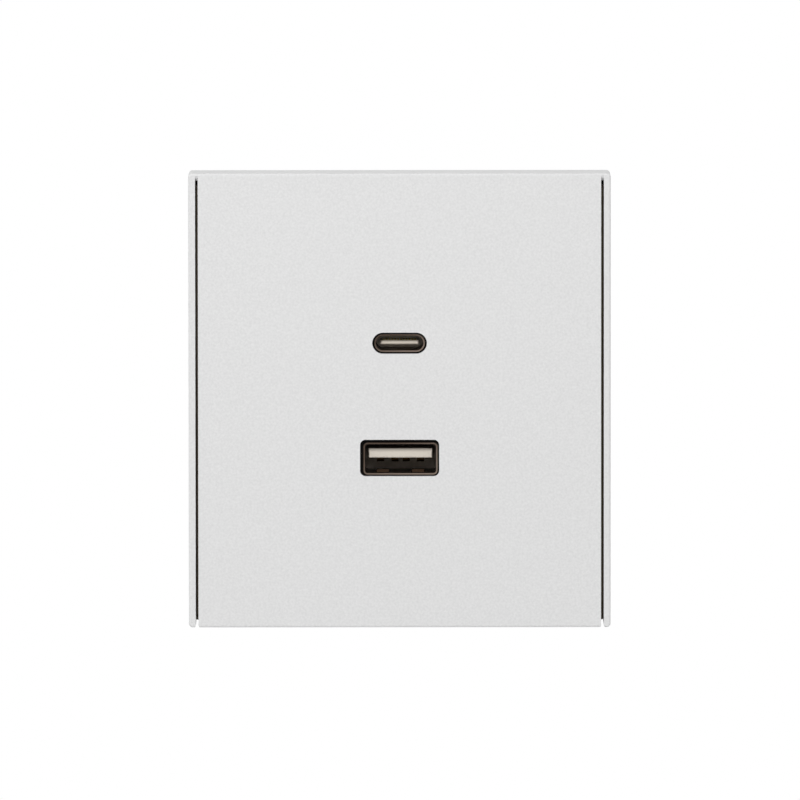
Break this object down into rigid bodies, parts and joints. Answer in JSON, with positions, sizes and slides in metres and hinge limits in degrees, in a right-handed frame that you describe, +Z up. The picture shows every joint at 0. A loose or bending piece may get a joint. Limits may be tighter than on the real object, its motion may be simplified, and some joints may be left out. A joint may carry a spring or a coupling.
{
  "type": "usb wall socket",
  "caption": "Flush wall socket: a light grey moulded cover with narrow side slits, a USB-C and a USB-A port, and a rear housing with push-in mains terminals.",
  "frame": {"origin": "centre of the box screw pattern, on the wall plane that the base frame and the support lie on", "axes": "+X to the right seen from the room, +Y into the wall, +Z up"},
  "size_m": [0.0742, 0.0432, 0.08],
  "materials": {
    "cover_plastic": "fine moulded grain, matt light grey",
    "base_plastic": "matt dark brown moulding",
    "housing_plastic": "satin black moulding",
    "zinc_steel": "zinc plated sheet",
    "shell_steel": "dull nickel plating, drawn",
    "tongue_plastic": "cream liquid crystal polymer",
    "gold_contact": "gold flashed",
    "copper_contact": "tinned copper alloy",
    "spring_steel": "bright spring strip",
    "board_laminate": "glass epoxy with solder mask",
    "ferrite": "pressed and ground ferrite",
    "bobbin_plastic": "brown phenolic moulding",
    "winding_tape": "polyester tape over wire",
    "capacitor_sleeve": "shrunk sleeve over a can",
    "polymer_can": "drawn can",
    "blue_epoxy": "dipped epoxy",
    "choke_sleeve": "shrunk sleeve",
    "fuse_case": "brown moulded case",
    "chip_epoxy": "moulded epoxy",
    "header_plastic": "moulded strip",
    "terminal_plastic": "light grey polyamide",
    "button_plastic": "orange polyamide"
  },
  "bodies": {
    "socket": {"front_cover": "cover_plastic", "base_frame": "base_plastic", "mounting_support": "zinc_steel", "base_screws": "zinc_steel", "module_front": "housing_plastic", "module_rear": "housing_plastic", "port_board": "board_laminate", "port_board_screws": "zinc_steel", "power_board": "board_laminate", "power_board_screws": "zinc_steel", "usb_c_shell": "shell_steel", "usb_c_tongue": "tongue_plastic", "usb_c_contacts": "gold_contact", "usb_a_shell": "shell_steel", "usb_a_tongue": "tongue_plastic", "usb_a_contacts": "gold_contact", "transformer_core": "ferrite", "transformer_bobbin": "bobbin_plastic", "transformer_winding": "winding_tape", "bulk_capacitors": "capacitor_sleeve", "output_capacitors": "polymer_can", "line_choke": "choke_sleeve", "fuse": "fuse_case", "safety_capacitor": "blue_epoxy", "bridge_rectifier": "chip_epoxy", "power_controller": "chip_epoxy", "charge_controller": "chip_epoxy", "link_pins": "gold_contact", "link_strip": "header_plastic", "terminal_block": "terminal_plastic", "contact_bar_live": "copper_contact", "contact_bar_neutral": "copper_contact", "clamp_spring_live": "spring_steel", "clamp_spring_neutral": "spring_steel"},
    "live_button": {"release_button_live": "button_plastic"},
    "neutral_button": {"release_button_neutral": "button_plastic"}
  },
  "joints": [
    {"name": "live_release", "type": "slide", "parent": "socket", "child": "live_button", "axis": [0, -1, 0], "range_m": [0, 0.0012], "stiffness_N_per_m": 2000, "deforming": ["clamp_spring_live"]},
    {"name": "neutral_release", "type": "slide", "parent": "socket", "child": "neutral_button", "axis": [0, -1, 0], "range_m": [0, 0.0012], "stiffness_N_per_m": 2000, "deforming": ["clamp_spring_neutral"]}
  ]
}
